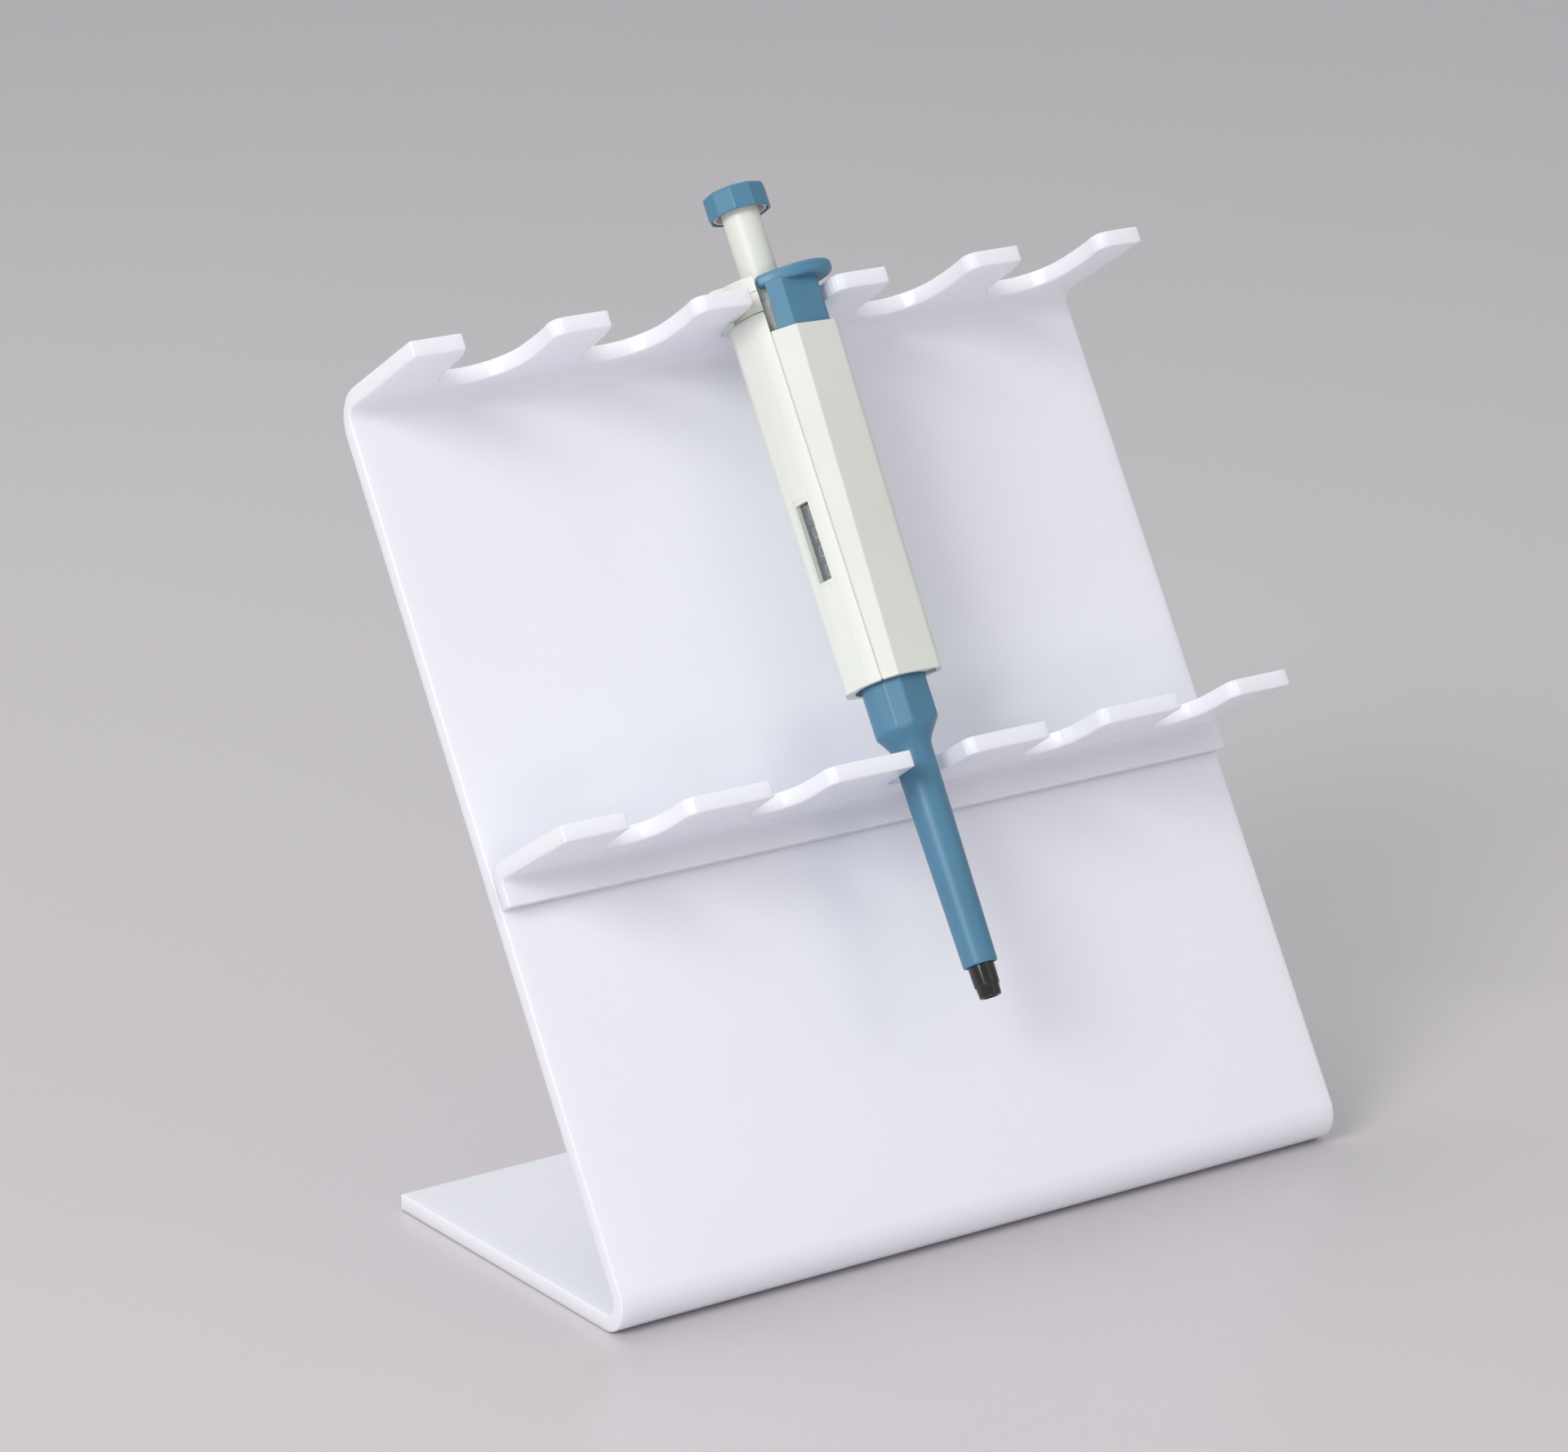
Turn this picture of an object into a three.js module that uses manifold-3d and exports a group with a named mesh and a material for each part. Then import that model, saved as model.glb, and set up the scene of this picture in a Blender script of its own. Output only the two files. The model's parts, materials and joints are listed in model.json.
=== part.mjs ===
// Bench stand of bent opal acrylic holding one adjustable 100-1000 microlitre air-displacement pipette.
// Millimetres, +Z up. The stand's base lies on Z = 0, its front faces -Y, and the origin is under the middle of the stand.
import * as THREE from "three";
import { mergeVertices } from "three/addons/utils/BufferGeometryUtils.js";
import Module from "manifold-3d";

// ---- driving dimensions: stand ----
const WIDTH = 238; // along X
const SHEET = 4.6; // acrylic thickness
const LEAN = 30.9; // panel's lean from vertical, degrees
const FLANGE_S = 259.0; // along the panel, from the table to the underside of the top flange
const TOP_BEND_R = 3.5; // inner radius, on the front side
const TOP_BEND_OUTER_R = 11; // the bend is thinned on its outside
const FLANGE_TILT = -0.3; // flange from square to the panel, degrees
const FLANGE_DEPTH = 41.9; // from the sharp corner with the panel face
const BOTTOM_BEND_R = 8.5; // outer radius
const BASE_DEPTH = 118.7; // from the sharp front corner to the back edge
const PITCH = 45; // between slots
const SLOTS = 5;
const Y_MID = 70.177; // from the stand's sharp front corner back to the middle of the whole set
// lower rack: a second bent strip glued to the panel's face
const RACK_T = 4.6;
const RACK_GAP = 0.3; // glue line
const RACK_BOTTOM = 119.0; // along the panel
const RACK_CREASE = 126.5; // along the panel, underside of its shelf
const RACK_TILT = -0.7;
const RACK_DEPTH = 37.2; // from the strip's front face
const RACK_BEND_R = 1.6;
// ---- driving dimensions: pipette, heights from the lower end of its tip cone ----
const AXIS_UPPER = [120.4, 261.7, 27.4]; // x from the stand's left end, distance up the panel, distance in front of it
const AXIS_LOWER = [119.5, 128.45, 28.4];
const H_LOWER = 65.5; // height of AXIS_LOWER
const VIEW_SIDE = [-0.561, -0.6857, 0.4638]; // the way the handle's front rib faces
const H_BODY0 = 88.75,
  H_NOTCH = 188.9,
  H_HOOK = 201.0, // underside of the hook, just clear of the flange
  H_NECK = 195.25, // the handle is slimmer from here to the hook, where it passes the flange
  H_TOP = 206.6;
const NECK_R = 11.0;
const SEAM_X = -1.9;
const BORE_R = 9.9;
const SHAFT_R = 5.3;
const KNOB_R = 8.95,
  KNOB_H0 = 225.1,
  KNOB_H1 = 232.1;
const PAD_H0 = 201.75,
  PAD_H1 = 205.85,
  PAD_TILT = 1.7; // its outer end is the higher

const wasm = await Module();
wasm.setup();
const rad = THREE.MathUtils.degToRad;

// ---- solids ----
function solid(geometry) {
  const g = geometry.clone();
  g.deleteAttribute("normal");
  g.deleteAttribute("uv");
  const m = mergeVertices(g, 1e-4);
  const tri = new Uint32Array(m.index.array);
  const make = (t) =>
    new wasm.Manifold(
      new wasm.Mesh({
        numProp: 3,
        vertProperties: new Float32Array(m.attributes.position.array),
        triVerts: t,
      }),
    );
  let s = make(tri);
  if (s.volume() < 0) {
    for (let i = 0; i < tri.length; i += 3)
      [tri[i + 1], tri[i + 2]] = [tri[i + 2], tri[i + 1]];
    s = make(tri);
  }
  return s;
}
function geometryOf(s) {
  const m = s.getMesh(),
    v = new Float32Array(m.numVert * 3);
  for (let i = 0; i < m.numVert; i++)
    v.set(m.vertProperties.subarray(i * m.numProp, i * m.numProp + 3), i * 3);
  const g = new THREE.BufferGeometry();
  g.setAttribute("position", new THREE.BufferAttribute(v, 3));
  g.setIndex(new THREE.BufferAttribute(new Uint32Array(m.triVerts), 1));
  g.computeVertexNormals();
  return g;
}
function prismGeometry(points, z0, z1) {
  const g = new THREE.ExtrudeGeometry(
    new THREE.Shape(points.map((p) => new THREE.Vector2(p[0], p[1]))),
    { depth: z1 - z0, bevelEnabled: false, steps: 1 },
  );
  g.translate(0, 0, z0);
  return g;
}
const prism = (points, z0, z1) => solid(prismGeometry(points, z0, z1));
function lathe(profile, segments = 40) {
  // profile is [radius, height]; a ring's profile is closed here
  const pts = profile.map((p) => new THREE.Vector2(p[0], p[1]));
  if (profile[0][0] > 1e-9) pts.push(pts[0].clone());
  const g = new THREE.LatheGeometry(pts, segments);
  g.rotateX(Math.PI / 2);
  return solid(g);
}
const disc = (r, z0, z1, seg) =>
  lathe([[0, z0], [r, z0], [r, z1], [0, z1]], seg); // prettier-ignore
const ring = (r0, r1, z0, z1, seg) =>
  lathe([[r0, z0], [r1, z0], [r1, z1], [r0, z1]], seg); // prettier-ignore
function box(x0, x1, y0, y1, z0, z1) {
  const g = new THREE.BoxGeometry(x1 - x0, y1 - y0, z1 - z0);
  g.translate((x0 + x1) / 2, (y0 + y1) / 2, (z0 + z1) / 2);
  return solid(g);
}
class Helix extends THREE.Curve {
  constructor(r, z0, z1, turns, x = 0, y = 0) {
    super();
    Object.assign(this, { r, z0, z1, turns, x, y });
  }
  getPoint(t, out = new THREE.Vector3()) {
    // the end turns lie close together
    const e = 1 / this.turns,
      f =
        t < e
          ? (t / e) * 0.03
          : t > 1 - e
            ? 1 - ((1 - t) / e) * 0.03
            : 0.03 + ((t - e) / (1 - 2 * e)) * 0.94;
    const q = t * this.turns * 2 * Math.PI;
    return out.set(
      this.x + this.r * Math.cos(q),
      this.y + this.r * Math.sin(q),
      this.z0 + (this.z1 - this.z0) * f,
    );
  }
}
function coil(r, wire, z0, z1, turns, x = 0, y = 0) {
  const c = [];
  for (let i = 0; i < 6; i++)
    c.push(
      new THREE.Vector2(
        wire * Math.cos((i * Math.PI) / 3),
        wire * Math.sin((i * Math.PI) / 3),
      ),
    );
  return solid(
    new THREE.ExtrudeGeometry(new THREE.Shape(c), {
      steps: Math.round(turns * 14),
      bevelEnabled: false,
      extrudePath: new Helix(r, z0 + wire, z1 - wire, turns, x, y),
    }),
  );
}
const arc = (cx, cy, r, a0, a1, n) =>
  Array.from({ length: n + 1 }, (_, i) => {
    const a = rad(a0 + ((a1 - a0) * i) / n);
    return [cx + r * Math.cos(a), cy + r * Math.sin(a)];
  });

// ---- materials ----
const mat = (color, roughness, metalness, extra = {}) =>
  new THREE.MeshStandardMaterial({ color, roughness, metalness, ...extra });
const OPAL = () => mat(0xdfdeee, 0.22, 0);
const BLUE = () => mat(0x4f88a6, 0.38, 0);
const WHITE = () => mat(0xe4e9de, 0.42, 0);
const GREY = () => mat(0xb9bcba, 0.45, 0);
const DARK = () => mat(0x2b2d2e, 0.25, 0.1);
const STEEL = () => mat(0xc3c6c8, 0.28, 1);

const root = new THREE.Group();
root.name = "pipette_set";
function add(parent, name, s, material) {
  const mesh = new THREE.Mesh(geometryOf(s), material);
  mesh.name = name;
  parent.add(mesh);
  return mesh;
}

// ---- stand ----
// (s, o): distance up the panel's face from the table, and in front of it. (y, z) is the upright side view.
const st = Math.sin(rad(LEAN)),
  ct = Math.cos(rad(LEAN));
const side = (s, o) => [s * st - o * ct, s * ct + o * st];
const flangeAngle = 90 - FLANGE_TILT; // turn from up-panel to along the flange
function bent(s0, o0, tilt, v, w) {
  // on a flange: v along it, w above its underside
  const t = rad(tilt);
  return [
    s0 + v * Math.sin(t) + w * Math.cos(t),
    o0 + v * Math.cos(t) - w * Math.sin(t),
  ];
}
const outline = [];
{
  const tl = BOTTOM_BEND_R / Math.tan(rad((90 - LEAN) / 2));
  outline.push([BASE_DEPTH, 0]);
  // outer bottom bend, from the table round to the panel's face
  for (const p of arc(tl, BOTTOM_BEND_R, BOTTOM_BEND_R, -90, -180 - LEAN, 12))
    outline.push(p);
  // inner top bend, round which the flange turns towards the front
  const n = 12;
  const bendAt = (a, r, s0, o0) =>
    side(s0 + r * Math.sin(rad(a)), o0 + r - r * Math.cos(rad(a)));
  const half = Math.tan(rad(flangeAngle / 2));
  const inner = FLANGE_S - TOP_BEND_R * half;
  for (let i = 0; i <= n; i++)
    outline.push(bendAt((flangeAngle * i) / n, TOP_BEND_R, inner, 0));
  outline.push(side(...bent(FLANGE_S, 0, FLANGE_TILT, FLANGE_DEPTH, 0)));
  outline.push(side(...bent(FLANGE_S, 0, FLANGE_TILT, FLANGE_DEPTH, SHEET)));
  // outer top bend, tangent to the flange's top and the panel's back
  const outer = FLANGE_S + SHEET * half - TOP_BEND_OUTER_R * half;
  for (let i = n; i >= 0; i--)
    outline.push(bendAt((flangeAngle * i) / n, TOP_BEND_OUTER_R, outer, -SHEET));
  // inner bottom bend
  for (const p of arc(
    tl,
    BOTTOM_BEND_R,
    BOTTOM_BEND_R - SHEET,
    -180 - LEAN,
    -90,
    8,
  ))
    outline.push(p);
  outline.push([BASE_DEPTH, SHEET]);
}
// side-view outline (y, z) run along X
function alongX(points, x0, x1) {
  const g = new THREE.ExtrudeGeometry(
    new THREE.Shape(points.map((p) => new THREE.Vector2(p[0], p[1]))),
    { depth: x1 - x0, bevelEnabled: false },
  );
  g.rotateY(Math.PI / 2);
  g.rotateX(Math.PI / 2); // shape x -> y, shape y -> z, depth -> x
  g.translate(x0, 0, 0);
  return solid(g);
}
// a slot's plan (x, v) run through a flange
function throughFlange(points, s0, o0, tilt, w0, w1) {
  const g = prismGeometry(points, w0, w1); // x, v, w
  const t = rad(tilt);
  // unit steps of v and w in the upright frame
  const dv = side(Math.sin(t), Math.cos(t)),
    dw = side(Math.cos(t), -Math.sin(t)),
    o = side(s0, o0);
  g.applyMatrix4(
    new THREE.Matrix4().set(
      1, 0, 0, 0,
      0, dv[0], dw[0], o[0],
      0, dv[1], dw[1], o[1],
      0, 0, 0, 1,
    ), // prettier-ignore
  );
  return solid(g);
}
const UPPER_SLOT = [
  [15.9, 44], [15.9, 41.9], [16.3, 40.6], [17.4, 37.6], [18.2, 33.5], [18.8, 28], [19.2, 21.5],
  ...arc(32, 21.5, 12.8, 180, 360, 18).slice(1),
  [45.0, 26], [44.9, 31], [44.5, 35], [44.0, 37.6], [44.1, 39.4], [44.9, 40.9], [46.4, 41.7],
  [48.2, 42.0], [48.2, 44],
]; // prettier-ignore
const LOWER_SLOT = [
  [19.7, 39.4], [19.7, 36.9], [20.2, 34], [21.6, 27], [22.2, 21.5],
  ...arc(30.8, 21.5, 8.6, 180, 360, 14).slice(1),
  [39.2, 27], [38.6, 32.5], [38.4, 34.6], [38.9, 36.1], [40.4, 37.2], [40.4, 39.4],
]; // prettier-ignore
{
  let panel = alongX(outline, 0, WIDTH);
  for (let i = 0; i < SLOTS; i++)
    panel = panel.subtract(
      throughFlange(
        UPPER_SLOT.map(([x, v]) => [x + PITCH * i, v]),
        FLANGE_S,
        0,
        FLANGE_TILT,
        -9,
        12,
      ),
    );
  const so = RACK_GAP + RACK_T; // the strip's front face
  const rackTurn = 90 - RACK_TILT;
  const tb = RACK_BEND_R * Math.tan(rad(rackTurn / 2));
  const rack = [];
  rack.push(side(RACK_BOTTOM, RACK_GAP), side(RACK_BOTTOM, so));
  const bend = (a, r) =>
    side(
      RACK_CREASE - tb + r * Math.sin(rad(a)),
      so + RACK_BEND_R - r * Math.cos(rad(a)),
    );
  for (let i = 0; i <= 6; i++) rack.push(bend((rackTurn * i) / 6, RACK_BEND_R));
  rack.push(side(...bent(RACK_CREASE, so, RACK_TILT, RACK_DEPTH, 0)));
  rack.push(side(...bent(RACK_CREASE, so, RACK_TILT, RACK_DEPTH, RACK_T)));
  for (let i = 8; i >= 0; i--)
    rack.push(bend((rackTurn * i) / 8, RACK_BEND_R + RACK_T));
  let strip = alongX(rack, 0, WIDTH);
  for (let i = 0; i < SLOTS; i++)
    strip = strip.subtract(
      throughFlange(
        LOWER_SLOT.map(([x, v]) => [x + PITCH * i, v]),
        RACK_CREASE,
        so,
        RACK_TILT,
        -6,
        12,
      ),
    );
  const stand = new THREE.Group();
  stand.position.set(-WIDTH / 2, -Y_MID, 0);
  add(stand, "stand_panel", panel, OPAL());
  add(stand, "rack_strip", strip, OPAL());
  root.add(stand);
}

// ---- pipette ----
// Its own frame: z up its axis from the cone's end, -y the way its front rib faces, +x towards the ejector.
const pipette = new THREE.Group();
{
  const at = ([x, s, o]) => {
    const [y, z] = side(s, o);
    return new THREE.Vector3(x - WIDTH / 2, y - Y_MID, z);
  };
  const low = at(AXIS_LOWER);
  const up = at(AXIS_UPPER).sub(low).normalize();
  const y = new THREE.Vector3(...VIEW_SIDE).negate();
  y.addScaledVector(up, -y.dot(up)).normalize();
  const x = new THREE.Vector3().crossVectors(y, up).normalize();
  const m = new THREE.Matrix4().makeBasis(x, y, up);
  m.setPosition(low.clone().addScaledVector(up, -H_LOWER));
  pipette.applyMatrix4(m);
}
root.add(pipette);
const mirrorY = (half) => [
  ...half,
  ...half
    .slice()
    .reverse()
    .map(([x, y]) => [x, -y]),
];

// handle section at the notch, front half from the ejector side round to the hook side
const handleSection = mirrorY([
  [16.3, -3], [5.6, -11.5], [-1.8, -11.3], [-4.2, -10.8], [-7.2, -9.4], [-12.0, -4.6],
  [-12.6, -2.6],
]); // prettier-ignore
function handleBody(z0, z1, inset = 0) {
  const g = prismGeometry(handleSection, z0, z1);
  const p = g.attributes.position;
  for (let i = 0; i < p.count; i++) {
    // the ejector side narrows downwards
    const k = (H_NOTCH - p.getZ(i)) / (H_NOTCH - H_BODY0),
      x = p.getX(i);
    const shift = x > 10 ? 1.8 : x > 2 ? 2.7 : x > -2.5 ? 0.4 : 0;
    if (k > 0) p.setX(i, x - shift * k);
  }
  return solid(g);
}
// fixed parts of the handle
const stemCavity = mirrorY([
  [15.05, -2.75], [5.5, -10.3], [-3, -10.3],
]); // prettier-ignore
const collarSection = mirrorY([
  [9.6, -2.4], [2.95, -8.6], [-1.8, -8.5], [-5.4, -7.1], [-7.6, -3.9], [-8.3, -1.6],
]); // prettier-ignore
const collarCavity = mirrorY([
  [10.1, -2.7], [3.1, -9.3], [-2, -9.2], [-5.8, -7.7], [-8.2, -4.3], [-8.9, -1.8],
]); // prettier-ignore
const cavity = [
  disc(BORE_R, H_BODY0 - 1, H_NOTCH - 3, 48),
  box(6, 12.8, -2.9, 2.9, H_BODY0 - 1, H_NOTCH + 1),
  prism(stemCavity, 149.5, H_NOTCH + 1),
  prism(collarCavity, H_BODY0 - 1, 92.5),
].reduce((a, b) => a.add(b));
{
  // hook side: full height, with the finger hook and the window
  let shell = handleBody(H_BODY0, H_NOTCH).add(
    prism(handleSection, H_NOTCH - 0.5, H_TOP),
  );
  shell = shell.intersect(box(-30, SEAM_X, -20, 20, H_BODY0 - 5, H_TOP + 5));
  shell = shell.subtract(cavity.trimByPlane([0, 0, -1], -(H_NOTCH - 2)));
  shell = shell.subtract(disc(6.9, H_NOTCH - 12, 199.1, 40));
  shell = shell.subtract(disc(5.65, 190, H_TOP + 2, 40));
  // hook, in side view (x, height)
  const hook = [
    [-9, H_HOOK], [-15.2, H_HOOK], [-16.8, H_HOOK + 0.4], [-17.6, H_HOOK + 1.0], [-17.4, H_HOOK + 1.9],
    [-16.2, H_TOP - 1.9], [-14.4, H_TOP - 0.8], [-12.6, H_TOP - 0.1], [-9, H_TOP],
  ]; // prettier-ignore
  const hg = prismGeometry(hook, -6.4, 6.4);
  hg.rotateX(Math.PI / 2); // (x, height, depth) -> (x, -depth, height)
  shell = shell.add(solid(hg).subtract(disc(5.65, 190, H_TOP + 2, 40)));
  // its top falls a little towards the shaft, and its neck is round where it passes the flange
  shell = shell.trimByPlane([-0.0755, 0, -1], -205.073);
  shell = shell.subtract(ring(NECK_R, 16, H_NECK, H_HOOK, 48));
  // window: a shallow frame and an opening through the wall, both square to the sloping flat
  const turned = (s) => s.rotate([0, 0, -135]).translate([0, 0, 0]);
  // before turning, +x points out of the flat
  const flatR = 11.74;
  shell = shell.subtract(
    turned(box(flatR - 0.4, 16, -3.0, 3.0, 118.2, 143.2)),
  );
  shell = shell.subtract(turned(box(7, 16, -2.4, 2.4, 119.5, 141.7)));
  add(pipette, "handle_shell", shell, WHITE());
  add(
    pipette,
    "window_lens",
    turned(box(9.65, 10.15, -2.1, 2.1, 119.8, 141.4)),
    mat(0x3a3d40, 0.08, 0, { transparent: true, opacity: 0.45 }),
  );
  // ejector side: a cover up to the notch
  let cover = handleBody(H_BODY0, H_NOTCH)
    .intersect(box(SEAM_X + 0.3, 30, -20, 20, H_BODY0 - 5, H_NOTCH + 5))
    .subtract(cavity);
  cover = cover.subtract(disc(7.1, H_NOTCH - 12, H_NOTCH + 2, 40));
  add(pipette, "handle_cover", cover, WHITE());
}
{
  // guide bush round the plunger shaft, with ribs along it
  let guide = ring(5.65, 6.3, 181, 198.7, 40);
  for (let i = 0; i < 20; i++) {
    const q = i * 18;
    guide = guide.add(
      box(6.0, 6.6, -0.25, 0.25, 181, 198.7).rotate([0, 0, q]),
    );
  }
  guide = guide.add(
    ring(5.65, 8.3, 181, 182.4, 40).intersect(
      box(-20, 20, -20, 20, 180, 190),
    ),
  );
  add(pipette, "shaft_guide", guide, GREY());
  add(pipette, "lower_bulkhead", ring(5.1, 9.6, 98.4, 103, 40), GREY());
  add(
    pipette,
    "coupling_nut",
    lathe(
      [[6.9, 91], [9.0, 91], [9.0, 98.1], [8.3, 98.1], [8.3, 94.6], [6.9, 94.6]],
      36,
    ), // prettier-ignore
    BLUE(),
  );
  add(
    pipette,
    "piston_housing",
    lathe(
      [
        [1.5, 70], [3.9, 70], [6.6, 75.5], [6.6, 94.9], [8.0, 94.9], [8.0, 98.1],
        [5.0, 98.1], [5.0, 76.1], [1.5, 74.5],
      ],
      36,
    ), // prettier-ignore
    WHITE(),
  );
  add(
    pipette,
    "tip_cone",
    lathe(
      [
        [2.2, 0], [2.85, 0], [3.05, 0.4], [3.2, 3.0], [3.5, 3.2], [3.66, 9], [3.75, 69.7], [1.5, 69.7],
        [1.5, 9], [2.2, 8.6],
      ],
      36,
    ), // prettier-ignore
    DARK(),
  );
  add(pipette, "cone_filter", disc(1.9, 1.2, 8.2, 20), mat(0xf1f0ea, 0.9, 0));
}
{
  // tip ejector: thumb pad and stem, return spring, flat push rod, and the sleeve over the nose
  const pad = mirrorY([
    [-1.55, -8.7], [3, -9.5], [8.3, -9.5], [12.2, -8.7], [15.6, -6.9], [18.2, -4.1],
    [19.3, -1.4],
  ]); // prettier-ignore
  let button = prism(pad, PAD_H0, PAD_H1);
  const mid = (PAD_H0 + PAD_H1) / 2;
  button = button.subtract(
    // dished top
    solid(new THREE.SphereGeometry(60, 64, 32)).translate([10.5, 0, PAD_H1 + 59]),
  );
  button = button
    .translate([-8, 0, -mid])
    .rotate([0, -PAD_TILT, 0])
    .translate([8, 0, mid])
    .trimByPlane([-0.14, 0, 1], 198.554); // thinner towards its outer end
  const stem = mirrorY([
    [14.7, -2.0], [5.3, -9.95], [0.6, -9.95],
  ]); // prettier-ignore
  button = button.add(
    prism(stem, 176, PAD_H0 + 0.2)
      .subtract(disc(8.7, 170, PAD_H0, 44))
      .subtract(box(6, 12.9, -2.4, 2.4, 170, PAD_H0)),
  );
  button = button.subtract(disc(7.0, 170, 215, 44));
  button = button.subtract(box(-9, 0, -7, 7, 170, 215));
  add(pipette, "ejector_button", button, BLUE());
  add(pipette, "ejector_rod", box(11.0, 12.4, -1.9, 1.9, 90.9, PAD_H0 - 0.4), STEEL());
  add(
    pipette,
    "ejector_spring",
    coil(2.6, 0.35, 150, 175.7, 9, 11.7, 0),
    STEEL(),
  );
  // sleeve: faceted collar, funnel and tube
  const outer = prism(collarSection, 60, 90.5).intersect(
    lathe(
      [[0, 60], [5.55, 60], [5.7, 70.2], [6.25, 72], [10.6, 78.3], [10.6, 91], [0, 91]],
      44,
    ), // prettier-ignore
  );
  let sleeve = outer.add(
    lathe([[0, 9], [4.62, 9], [4.78, 9.3], [5.65, 70.5], [0, 70.5]], 44), // prettier-ignore
  );
  sleeve = sleeve.add(box(6, 12.4, -2.2, 2.2, 89.2, 90.5));
  sleeve = sleeve.subtract(
    lathe(
      [[0, 8], [4.1, 8], [4.5, 68.5], [4.9, 70.5], [7.2, 76.2], [7.2, 92], [0, 92]],
      40,
    ), // prettier-ignore
  );
  add(pipette, "ejector_sleeve", sleeve, BLUE());
}
{
  // plunger: push-button, its liner, the shaft and the parts on the operating rod
  const n = 10;
  const corners = Array.from({ length: n }, (_, i) => {
    const a = ((i + 0.5) / n) * 2 * Math.PI + rad(-93.5 + 18 + 0);
    return [KNOB_R * Math.cos(a), KNOB_R * Math.sin(a)];
  });
  const knob = prism(corners, KNOB_H0, KNOB_H1)
    .intersect(
      lathe(
        [
          [0, KNOB_H0], [8.6, KNOB_H0], [9.0, KNOB_H0 + 0.5], [9.0, KNOB_H1 - 1.5], [8.6, KNOB_H1 - 0.6],
          [7.8, KNOB_H1 - 0.1], [0, KNOB_H1],
        ],
        48,
      ), // prettier-ignore
    )
    .subtract(disc(7.9, KNOB_H0 - 1, KNOB_H1 - 4.1, 44));
  add(pipette, "push_button", knob, BLUE());
  add(pipette, "button_liner", ring(7.0, 7.6, KNOB_H0 + 0.3, KNOB_H1 - 4.4, 44), WHITE());
  add(
    pipette,
    "plunger_shaft",
    lathe(
      [
        [3.2, 160], [SHAFT_R, 160], [SHAFT_R, 177.3], [6.3, 177.3], [6.3, 180.6], [SHAFT_R, 180.6],
        [SHAFT_R, KNOB_H1 - 4.5], [3.2, KNOB_H1 - 4.5],
      ],
      44,
    ), // prettier-ignore
    WHITE(),
  );
  add(pipette, "operating_rod", disc(1.7, 100.2, KNOB_H1 - 4.6, 16), STEEL());
  add(pipette, "spring_seat", ring(2.0, 5.2, 157.2, 159.4, 32), GREY());
  add(pipette, "primary_spring", coil(3.3, 0.4, 103.4, 156.8, 14), STEEL());
  add(pipette, "blowout_spring", coil(4.8, 0.45, 103.4, 144.2, 8), STEEL());
  add(
    pipette,
    "piston",
    lathe(
      [
        [0, 92], [4.2, 92], [4.5, 92.4], [4.5, 93.8], [3.7, 93.8], [3.7, 95.8], [4.5, 95.8], [4.5, 99.9],
        [0, 99.9],
      ],
      36,
    ), // prettier-ignore
    STEEL(),
  );
  add(
    pipette,
    "piston_seal",
    lathe(
      Array.from({ length: 8 }, (_, i) => {
        const a = (i / 8) * 2 * Math.PI;
        return [4.37 + 0.42 * Math.cos(a), 94.8 + 0.42 * Math.sin(a)];
      }),
      36,
    ),
    mat(0x1d1d1e, 0.7, 0),
  );
}
{
  // volume setting: spindle turned by the shaft, travelling stop, and four number wheels
  add(pipette, "volume_spindle", ring(5.6, 6.3, 117, 161.5, 40), GREY());
  add(pipette, "volume_stop", ring(6.6, 8.2, 143, 161.5, 40), GREY());
  for (let i = 0; i < 4; i++) {
    const z = 119.7 + i * 5.4;
    add(
      pipette,
      "number_wheel_" + (i + 1),
      ring(6.6, 9.3, z, z + 5.1, 40),
      mat(0x232427, 0.4, 0),
    );
  }
}

export default root;
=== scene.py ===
import json
import math

import bmesh
import bpy
from mathutils import Matrix, Vector


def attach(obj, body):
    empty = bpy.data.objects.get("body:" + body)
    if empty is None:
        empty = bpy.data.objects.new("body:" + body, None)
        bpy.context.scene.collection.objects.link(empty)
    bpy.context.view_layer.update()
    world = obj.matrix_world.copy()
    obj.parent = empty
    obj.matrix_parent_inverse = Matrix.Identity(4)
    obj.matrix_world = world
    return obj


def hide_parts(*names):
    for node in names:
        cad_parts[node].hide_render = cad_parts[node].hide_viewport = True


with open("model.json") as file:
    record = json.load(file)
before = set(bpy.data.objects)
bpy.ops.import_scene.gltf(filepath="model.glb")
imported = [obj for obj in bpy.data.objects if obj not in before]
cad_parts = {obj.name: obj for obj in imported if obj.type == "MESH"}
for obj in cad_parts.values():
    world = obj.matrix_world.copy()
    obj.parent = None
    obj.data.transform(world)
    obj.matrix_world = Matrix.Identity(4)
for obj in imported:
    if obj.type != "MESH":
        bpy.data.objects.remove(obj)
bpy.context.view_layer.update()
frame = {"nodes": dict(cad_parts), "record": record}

S = 0.001  # millimetres to metres
scene = bpy.context.scene

# ------------------------------------------------------------------ camera
yaw, pitch, roll = 0.5968413, 0.2955198, -0.0118308
fwd = Vector((math.sin(yaw) * math.cos(pitch), math.cos(yaw) * math.cos(pitch), -math.sin(pitch)))
rgt = Vector((math.cos(yaw), -math.sin(yaw), 0))
upv = rgt.cross(fwd)
c, s = math.cos(roll), math.sin(roll)
r2, u2 = c * rgt + s * upv, -s * rgt + c * upv
cam_data = bpy.data.cameras.new("camera")
cam = bpy.data.objects.new("camera", cam_data)
scene.collection.objects.link(cam)
cam_data.lens = 127.54
cam_data.sensor_width = 36
cam_data.sensor_fit = "HORIZONTAL"
cam_data.clip_start, cam_data.clip_end = 0.05, 60
cam.matrix_world = Matrix(
    (
        (r2.x, u2.x, -fwd.x, -0.828607),
        (r2.y, u2.y, -fwd.y, -1.185574),
        (r2.z, u2.z, -fwd.z, 0.569536),
        (0, 0, 0, 1),
    )
)
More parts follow.
